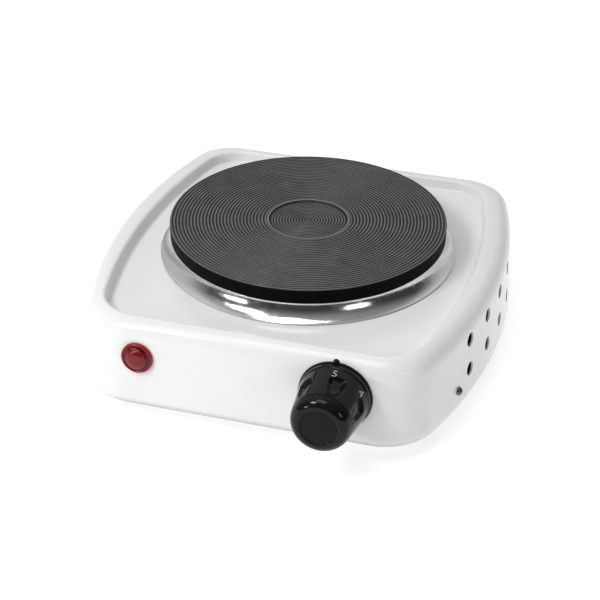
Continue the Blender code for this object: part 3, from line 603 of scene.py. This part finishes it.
def housing():
    wall_top = -wall_lean(RIM_HEIGHT - RIM_ROUND)
    levels = [(-LOWER_ROUND - 6.0, FOOT_HEIGHT), (-LOWER_ROUND - 3.0, FOOT_HEIGHT)]
    levels += bend(-LOWER_ROUND, FOOT_HEIGHT + LOWER_ROUND, LOWER_ROUND, -90, 0, 10)
    wall = np.linspace(FOOT_HEIGHT + LOWER_ROUND, RIM_HEIGHT - RIM_ROUND, 10)[1:-1]
    levels += [(-wall_lean(h), h) for h in wall]
    rings = [[(x, y, height) for x, y in outline(offset)] for offset, height in levels]
    for offset, height in bend(wall_top - RIM_ROUND, RIM_HEIGHT - RIM_ROUND, RIM_ROUND, 0, 75, 12):
        cut = RIM_CORNER_CUT * (wall_top - offset)
        rings.append([(x, y, height) for x, y in outline(offset, cut)])
    outer_edge = rings[-1]
    crest_edge = tray_outline(0.0)
    for share in (0.25, 0.5, 0.75):
        # the crest swells gently between the rim's outer round and the tray's wall
        lift = outer_edge[0][2] + (RIM_HEIGHT - outer_edge[0][2]) * math.sin(share * math.pi / 2)
        rings.append([(x + (ex - x) * share, y + (ey - y) * share, lift)
                      for (x, y, _), (ex, ey) in zip(outer_edge, crest_edge)])
    foot_offset = -CREST_ROUND - TRAY_ROUND - TRAY_WALL_RUN
    inner = bend(0.0, RIM_HEIGHT - CREST_ROUND, CREST_ROUND, 90, 160, 7)
    inner += bend(foot_offset, TRAY_HEIGHT + TRAY_ROUND, TRAY_ROUND, -20, -90, 6)
    rings += [[(x, y, height) for x, y in tray_outline(offset)] for offset, height in inner]
    tray_edge = rings[-1]
    hole = [Vector((x, y)).normalized() for x, y, _ in tray_edge]
    for share in np.linspace(0, 1, 14)[1:]:
        ring = []
        for (x, y, _), out in zip(tray_edge, hole):
            end = out * (TRAY_HOLE_RADIUS + HOLE_ROUND)
            ring.append((x + (end.x - x) * share, y + (end.y - y) * share, TRAY_HEIGHT))
        rings.append(ring)
    lip = bend(TRAY_HOLE_RADIUS + HOLE_ROUND, TRAY_HEIGHT - HOLE_ROUND, HOLE_ROUND, 90, 180, 4)[1:]
    for radius, height in lip + [(TRAY_HOLE_RADIUS, HOLE_LIP_FOOT)]:
        rings.append([(out.x * radius, out.y * radius, height) for out in hole])
    points, faces = grid(rings)
    shape = bmesh.new()
    corners = [shape.verts.new(PLATE @ Vector(p)) for p in points]
    for face in faces:
        shape.faces.new([corners[i] for i in face])
    made = shape_piece("housing_shell", shape, "root", "enamel", "housing", closed=False)
    sheet = made.modifiers.new("sheet", "SOLIDIFY")
    sheet.thickness = SHEET * MM
    sheet.offset = -1
    sheet.use_even_offset = True
    made.data.materials.append(GROUND_COAT)
    sheet.material_offset = 1
    apply_modifiers(made)
    holes = bmesh.new()
    for height in VENT_HEIGHTS:
        for i in range(VENTS_PER_ROW):
            y = VENT_FRONT_Y + VENT_PITCH * i
            rod(holes, VENT_RADIUS, (-VENT_REACH, y, height), (VENT_REACH, y, height))
    places = [(KNOB_LOCAL, 5.3, 5), (LAMP_LOCAL, 6.2, 5), (GLAND_LOCAL, 6.6, 5)]
    places += [(side_panel(side), 1.9, 4) for side in (1, -1)]
    for local, radius, reach in places:
        rod(holes, radius, local @ Vector((0, 0, -reach)), local @ Vector((0, 0, reach)))
    carve(made, holes)


# ---------------------------------------------------------------- cooking plate and ring

def ridges(start, end, pitch, level):
    """Turned rings: flat lands between shallow grooves, from start outwards."""
    made = []
    count = round((end - start) / pitch)
    for i in range(count):
        r = start + i * pitch
        cut = pitch * (1 - RING_LAND)
        groove = r + pitch * RING_LAND
        made += [(r, level), (groove, level), (groove + cut * 0.2, level - RING_DEPTH * 0.75),
                 (groove + cut * 0.5, level - RING_DEPTH), (groove + cut * 0.8, level - RING_DEPTH * 0.75)]
    return made + [(start + count * pitch, level)]


def hot_plate():
    hub_floor = PLATE_TOP - HUB_DEPTH
    top = [(0, hub_floor)] + ridges(HUB_START, HUB_RADIUS - 1.8, HUB_PITCH, hub_floor)
    top += rounded([(HUB_RADIUS - 1.5, hub_floor), (HUB_RADIUS - 1.1, hub_floor, 0.3),
                    (HUB_RADIUS, PLATE_TOP, 0.3), (HUB_RADIUS + 1.0, PLATE_TOP)])
    top += ridges(RING_START, PLATE_RADIUS - 1.2, RING_PITCH, PLATE_TOP)
    edge = PLATE_RADIUS
    rim = rounded([(edge - 1.1, PLATE_TOP), (edge, PLATE_TOP, 0.9), (edge - 0.2, 62.6, 0.5),
                   (73.5, 62.6, 0.3), (73.5, 52, 0.5), (68.5, 52, 0.5), (68.5, 64.5, 0.8),
                   (48.5, 64.5, 0.8), (48.5, 57, 0.4), (45.5, 57, 0.4), (45.5, 64.5, 0.8),
                   (27.5, 64.5, 0.8), (27.5, 57, 0.4), (24.5, 57, 0.4), (24.5, 64.5, 0.8),
                   (10, 64.5, 0.8), (10, 57.5, 0.4), (4.3, 57.5), (4.3, 66.5), (0, 66.5)])
    made = piece("cooking_plate", *turned(top + rim, 192), PLATE, "root", "cast_iron", "hot_plate", sharp=50)
    made.data.materials.append(EDGE_BLACK)
    for face in made.data.polygons:
        if face.center.z < (PLATE_TOP - BLACK_EDGE_DEPTH) * MM and face.normal.z < 0.5:
            face.material_index = 1


def trim_ring():
    gauge = 0.4
    top, knee, hem = Vector((76.5, 61.6)), Vector((78.4, 55.4)), Vector((83.0, 53.25))
    skin = rounded([(73.9, 62.2), (75.9, 62.2), (76.4, 62.2, 0.5), tuple(top)], segments=6)
    for i in range(1, 25):
        t = i / 24
        skin.append(tuple(top * (1 - t) ** 2 + knee * (2 * t * (1 - t)) + hem * t ** 2))
    path = [Vector(p) for p in skin]
    under = []
    for i, point in enumerate(path):
        along = path[min(i + 1, len(path) - 1)] - path[max(i - 1, 0)]
        inward = Vector((along.y, -along.x)).normalized()
        under.append(tuple(point + inward * gauge))
    points, faces = turned(skin + under[::-1], 256, closed=True)
    piece("trim_collar", points, faces, PLATE, "root", "stainless", "trim_ring", sharp=40)


# ---------------------------------------------------------------- knob

KNOB_SIDE = [(KNOB_FRONT_RADIUS, KNOB_LENGTH - 9.3), (SKIRT_RADIUS - 1.2, 10.0), (SKIRT_RADIUS - 0.6, 5.2)]
FLUTES, FIRST_FLUTE = 6, 75.0
FLUTE_END, FLUTE_RUN = 10.8, 3.0       # where a flute starts above the skirt, and how fast it opens
FLUTE_FRONT, FLUTE_FADE = 19.5, 6.5    # where it starts to close towards the front, and how slowly
FLUTE_SHRINK = 2.3                     # how much narrower its cutter is at either end


def wall_inside(height):
    """A radius between the knob's outer side and its inner wall."""
    return float(np.interp(height, [8.0, 25.0, 27.0, KNOB_LENGTH], [17.1, 15.4, 13.5, 11.0]))


def flute(radius, height, angle):
    """The knob's side pressed in by six finger flutes that run parallel to its axis."""
    share = max((FLUTE_END + FLUTE_RUN - height) / FLUTE_RUN, (height - FLUTE_FRONT) / FLUTE_FADE)
    if radius < max(12.0, wall_inside(height)) or share >= 1:
        return radius
    cut = FLUTE_RADIUS - FLUTE_SHRINK * (1 - math.sqrt(1 - max(0.0, share) ** 2))
    for i in range(FLUTES):
        turn = math.remainder(angle - math.radians(FIRST_FLUTE + 360 / FLUTES * i), 2 * math.pi)
        across = FLUTE_CENTRE * math.sin(turn)
        if abs(turn) < 0.5 and abs(across) < cut:
            radius = min(radius, FLUTE_CENTRE * math.cos(turn) - math.sqrt(cut ** 2 - across ** 2))
    return radius


def knob_radius(height):
    """Outer radius of the knob's side at a height."""
    heights = [h for _, h in reversed(KNOB_SIDE)]
    radii = [r for r, _ in reversed(KNOB_SIDE)]
    return float(np.interp(height, heights, radii))


def knob():
    end = KNOB_LENGTH
    shoulder = rounded([(0, end - 1.2), (9.5, end - 1.2, 0.1), (9.6, end - 0.3, 0.3), (10.4, end, 0.8),
                        (12.3, end - 0.3, 1.5), (14.6, end - 2.0, 2.4), (15.9, end - 5.0, 2.6),
                        (KNOB_FRONT_RADIUS, end - 9.3)], segments=8)
    side = [(knob_radius(h), h) for h in np.linspace(end - 9.5, 7.6, 72)]
    skirt = rounded([(knob_radius(7.4), 7.4), (SKIRT_RADIUS - 0.6, 5.2, 0.8), (SKIRT_RADIUS, 4.3, 0.7),
                     (SKIRT_RADIUS, 2.3, 0.4), (17.7, 2.3, 0.3), (16.4, 8.0), (14.0, 25.0, 2),
                     (11.5, 28.2, 1), (6.6, 28.2), (6.6, 6.0, 0.3), (4.3, 6.0, 0.2), (4.3, 23.5),
                     (0, 23.5)], segments=5)
    points, faces = turned(shoulder + side + skirt, 360, shrink=flute)
    made = piece("control_knob", points, faces, KNOB, "knob", "black_gloss", "knob", sharp=28)
    # painted shade: the flute faces take the duller copy of the black
    made.data.materials.append(FLUTE_PAINTED_SHADE)
    into = KNOB.inverted()
    for face in made.data.polygons:
        local = into @ face.center
        radius = math.hypot(local.x, local.y)
        outside = wall_inside(local.z) < radius + 0.6
        if outside and FLUTE_END < local.z < end - 5.5 and radius < knob_radius(local.z) - 0.2:
            face.material_index = 1
    cap = rounded([(0, end - 1.15), (9.45, end - 1.15), (9.45, end - 0.32, 0.2), (0, end - 0.25)])
    piece("knob_cap_disc", *turned(cap, 128), KNOB, "knob", CAP_BLACK, slot="black_plastic")


NUMERAL_SIZE, NUMERAL_HEIGHT = 6.9, 9.2
NUMERAL_THINNING, NUMERAL_RELIEF = 0.19, 0.07
NUMERAL_START, NUMERAL_STEP = 85.0, 54.0      # degrees round the knob at rest, and between settings


def numerals():
    """Raised setting numbers round the knob's skirt."""
    for i, text in enumerate("543210"):
        curve = bpy.data.curves.new("numeral", "FONT")
        curve.body = text
        curve.size = NUMERAL_SIZE
        curve.offset = -NUMERAL_THINNING
        curve.extrude = NUMERAL_RELIEF
        curve.align_x = "CENTER"
        curve.align_y = "CENTER"
        curve.resolution_u = 6
        holder = bpy.data.objects.new("numeral", curve)
        bpy.context.scene.collection.objects.link(holder)
        bpy.context.view_layer.update()
        view = bpy.context.evaluated_depsgraph_get()
        flat = bpy.data.meshes.new_from_object(holder.evaluated_get(view))
        bpy.data.objects.remove(holder)
        shape = bmesh.new()
        shape.from_mesh(flat)
        bmesh.ops.remove_doubles(shape, verts=shape.verts, dist=1e-4)
        start = math.radians(NUMERAL_START - NUMERAL_STEP * i)
        for vert in shape.verts:
            height = NUMERAL_HEIGHT - vert.co.y
            radius = knob_radius(height) + 0.05 + vert.co.z
            angle = start - vert.co.x / radius
            vert.co = KNOB @ Vector((radius * math.cos(angle), radius * math.sin(angle), height))
        shape_piece("knob_numeral_" + text, shape, "knob", DIAL_WHITE)


def bezel():
    ring = rounded([(8.6, 0.3), (BEZEL_RADIUS, 0.3, 0.2), (BEZEL_RADIUS, 1.6, 0.9), (8.6, 1.75)], closed=True)
    points, faces = turned(ring, 160, closed=True)
    piece("knob_escutcheon", points, faces, KNOB, "root", CAP_BLACK, "knob_bezel", slot="black_plastic")
    nub = rounded([(0, 2.15), (1.5, 2.15, 0.6), (1.85, 0.4), (0, 0.4)])
    place = KNOB @ Matrix.Translation((0, BEZEL_RADIUS, 0))
    piece("setting_pointer", *turned(nub, 40), place, "root", "black_gloss", slot="black_gloss")


# ---------------------------------------------------------------- lamp, gland, feet, screws

def lamp():
    """A domed lens in a moulded flange, with painted shade in the valley between the two and the flange painted
    a lighter red as if lit.
    """
    valley = (6.1, 7.3)
    lens = rounded([(0, 4.6), (3.4, 4.35, 1.4), (5.4, 3.4, 1.3), (valley[0], 2.0, 0.4), (valley[1], 1.5, 0.5),
                    (7.8, 2.0, 0.4), (8.3, 1.9, 0.4), (8.75, 1.3, 0.4), (8.75, 0.3), (5.8, 0.3), (5.8, -8),
                    (5.0, -8), (5.0, 0.9), (3.6, 2.3, 0.8), (0, 3.2)], segments=6)
    made = piece("indicator_lens", *turned(lens, 128), LAMP, "root", "red_lens", "lamp_lens", sharp=40)
    made.data.materials.append(LENS_VALLEY_PAINTED_SHADE)
    made.data.materials.append(LENS_RIM_PAINTED_LIGHT)
    into = LAMP.inverted()
    for face in made.data.polygons:
        local = into @ face.center
        radius = math.hypot(local.x, local.y)
        # painted shade in the valley, painted light on the flange
        if local.z > 0.8 and valley[0] - 0.2 < radius < valley[1] + 0.2:
            face.material_index = 1
        elif radius > valley[1]:
            face.material_index = 2


def gland():
    body = rounded([(3.8, GLAND_LENGTH, 0.4), (6.4, GLAND_LENGTH, 0.6), (7.4, 3.6, 0.5), (9.0, 1.2, 0.5),
                    (9.0, 0.3), (6.2, 0.3), (6.2, -1.5), (8.6, -1.5), (8.6, -3.0), (7.0, -6.0),
                    (3.8, -6.0, 0.4)], closed=True)
    points, faces = turned(body, 96, closed=True)
    piece("cord_bushing", points, faces, GLAND, "root", "black_plastic", "cord_gland")


def foot(place, x, y):
    body = rounded([(1.9, 4.4), (8.0, 4.4, 0.3), (7.4, 0.6, 0.8), (6.8, 0, 0.5), (3.9, 0, 0.6),
                    (3.9, 3.1, 0.3), (1.9, 3.1)], closed=True)
    points, faces = turned(body, 72, closed=True)
    piece("rubber_foot_" + place, points, faces, PLATE @ Matrix.Translation((x, y, 0)), "root", "rubber",
          "foot_" + place)


def screw(node, place, head, shank, reach, finish="steel"):
    """A pan-head screw with a cross recess and a threaded shank; local Z runs out of its head."""
    height, pitch = 1.8, 0.8
    profile = rounded([(0, height), (head * 0.62, height * 0.96, 0.8), (head, height * 0.45, 0.9),
                       (head, 0, 0.1), (shank, 0)])
    for i in range(int((reach - 1.0) / pitch)):
        z = -0.3 - pitch * i
        profile += [(shank, z), (shank - 0.28, z - 0.3), (shank - 0.28, z - 0.5)]
    profile += [(shank, -reach + 0.7), (shank - 0.5, -reach), (0, -reach)]
    made = piece(node + "_machined", *turned(profile, 40), PLATE @ place, "root", finish, node, slot="steel")
    recess = bmesh.new()
    for turn in (0, math.pi / 2):
        local = Matrix.Rotation(turn, 4, "Z") @ Matrix.Translation((0, 0, height))
        size = Matrix.Diagonal((head * 1.15, 0.62, 2.0, 1))
        bmesh.ops.create_cube(recess, size=1.0, matrix=PLATE @ place @ local @ size)
    carve(made, recess, crossed=True)


def fixings():
    down = Matrix.Rotation(math.pi, 4, "X")
    for place, (x, y) in FEET.items():
        foot(place, x, y)
        screw("foot_screw_" + place, Matrix.Translation((x, y, 2.8)) @ down, 3.4, 1.6, 6.0)
    for name, side in (("right", 1), ("left", -1)):
        seat = side_panel(side)
        place = seat @ Matrix.Translation((0, 0, 0.3)) @ Matrix.Rotation(0.5, 4, "Z")
        screw("side_screw_" + name, place, 2.25, 1.5, 7.0, BLACK_STEEL)
        under = seat @ Vector((0, 0, -22))
        at = Matrix.Translation((under.x, under.y, 4.4))
        screw("base_screw_" + name, at @ down, 3.0, 1.5, 5.5)


# ---------------------------------------------------------------- studio

def aim(thing, place, target):
    thing.location = place
    thing.rotation_euler = (Vector(target) - Vector(place)).to_track_quat("-Z", "Y").to_euler()


def bearing(azimuth, elevation):
    """Unit vector from the object: azimuth 0 is towards -Y, 90 towards +X."""
    a, e = math.radians(azimuth), math.radians(elevation)
    return Vector((math.sin(a) * math.cos(e), -math.cos(a) * math.cos(e), math.sin(e)))


def softbox(name, azimuth, elevation, distance, size, power):
    light = bpy.data.lights.new(name, "AREA")
    light.shape = "RECTANGLE"
    light.size, light.size_y = size
    light.energy = power
    made = bpy.data.objects.new(name, light)
    bpy.context.scene.collection.objects.link(made)
    centre = Vector((0, 0, 0.04))
    aim(made, centre + bearing(azimuth, elevation) * distance, centre)
    made.visible_camera = False


# The camera fitted to the photograph's ellipses and outline: degrees, millimetres and pixels
CAMERA_TURN = (16.438, 31.583, 0.379)      # azimuth, elevation and roll
CAMERA_PLACE = (230.34, -796.12, PLATE_TOP + 455.93)
SENSOR_WIDTH, FOCAL_PIXELS, PHOTO_PIXELS = 36.0, 1687.126, 600


def camera():
    azimuth, elevation, roll = (math.radians(angle) for angle in CAMERA_TURN)
    back = Vector((math.sin(azimuth) * math.cos(elevation), -math.cos(azimuth) * math.cos(elevation),
                   math.sin(elevation)))
    right = Vector((math.cos(azimuth), math.sin(azimuth), 0))
    up = back.cross(right)
    turned_right = right * math.cos(roll) + up * math.sin(roll)
    turned_up = up * math.cos(roll) - right * math.sin(roll)
    data = bpy.data.cameras.new("camera")
    data.sensor_width = SENSOR_WIDTH
    data.lens = FOCAL_PIXELS / PHOTO_PIXELS * SENSOR_WIDTH
    made = bpy.data.objects.new("camera", data)
    bpy.context.scene.collection.objects.link(made)
    place = PLATE @ Vector(CAMERA_PLACE)
    rotation = Matrix((turned_right, turned_up, back)).transposed().to_4x4()
    made.matrix_world = Matrix.Translation(place) @ rotation
    data.clip_start, data.clip_end = 0.01, 50
    bpy.context.scene.camera = made


def floor():
    shape = bmesh.new()
    bmesh.ops.create_circle(shape, cap_ends=True, segments=96, radius=9.0)
    mesh = bpy.data.meshes.new("floor")
    shape.to_mesh(mesh)
    shape.free()
    made = bpy.data.objects.new("floor", mesh)
    made.location.z = -0.0002
    bpy.context.scene.collection.objects.link(made)
    glow = {"Emission Strength": 0.74, "Emission Color": (1, 1, 1, 1)}
    pale = Finish("pale_floor", (0.5, 0.5, 0.5), 0.9, **glow)
    mesh.materials.append(pale.material)


# Parts of the surroundings: a direction, the cosines at which its glow starts and is full, and its strength
WORLD_GLOWS = [
    (Vector((0, 0, 1)), -1.1, -1.0, 0.04),
    (bearing(204, 0), -0.1, 0.5, 0.5),
    (Vector((0, 0, 1)), 0.3, 0.9, 0.24),
]


def world():
    """A studio with a bright backdrop behind the object, a dimmer front and a lit ceiling."""
    sky = bpy.data.worlds.new("studio")
    sky.use_nodes = True
    bpy.context.scene.world = sky
    tree = sky.node_tree
    shade = tree.nodes["Background"]
    direction = tree.nodes.new("ShaderNodeTexCoord").outputs["Generated"]
    glow = None
    for way, start, end, strength in WORLD_GLOWS:
        dot = tree.nodes.new("ShaderNodeVectorMath")
        dot.operation = "DOT_PRODUCT"
        tree.links.new(direction, dot.inputs[0])
        dot.inputs[1].default_value = way
        fade = tree.nodes.new("ShaderNodeMapRange")
        fade.interpolation_type = "SMOOTHSTEP"
        tree.links.new(dot.outputs["Value"], fade.inputs["Value"])
        fade.inputs["From Min"].default_value = start
        fade.inputs["From Max"].default_value = end
        fade.inputs["To Min"].default_value = 0.0
        fade.inputs["To Max"].default_value = strength
        if glow is None:
            glow = fade.outputs["Result"]
            continue
        total = tree.nodes.new("ShaderNodeMath")
        tree.links.new(glow, total.inputs[0])
        tree.links.new(fade.outputs["Result"], total.inputs[1])
        glow = total.outputs[0]
    seen = tree.nodes.new("ShaderNodeLightPath").outputs["Is Camera Ray"]
    mix = tree.nodes.new("ShaderNodeMix")
    tree.links.new(seen, mix.inputs["Factor"])
    tree.links.new(glow, mix.inputs["A"])
    mix.inputs["B"].default_value = 1.0
    tree.links.new(mix.outputs["Result"], shade.inputs["Strength"])
    shade.inputs["Color"].default_value = (1, 1, 1, 1)


# Each lamp's azimuth and elevation in degrees, distance and size in metres, and power in watts
SOFTBOXES = {
    "key": (-40, 14, 1.6, (0.33, 0.12), 4.2),
    "high_key": (-40, 45, 1.7, (0.46, 0.42), 12.0),
    "fill": (55, 18, 1.6, (0.44, 0.36), 1.8),
    "top": (-20, 74, 1.8, (0.9, 0.9), 9.0),
}


def studio():
    camera()
    floor()
    world()
    for name, setting in SOFTBOXES.items():
        softbox(name, *setting)
    bpy.context.scene.view_settings.view_transform = "Standard"


housing()
hot_plate()
trim_ring()
knob()
numerals()
bezel()
lamp()
gland()
fixings()
studio()
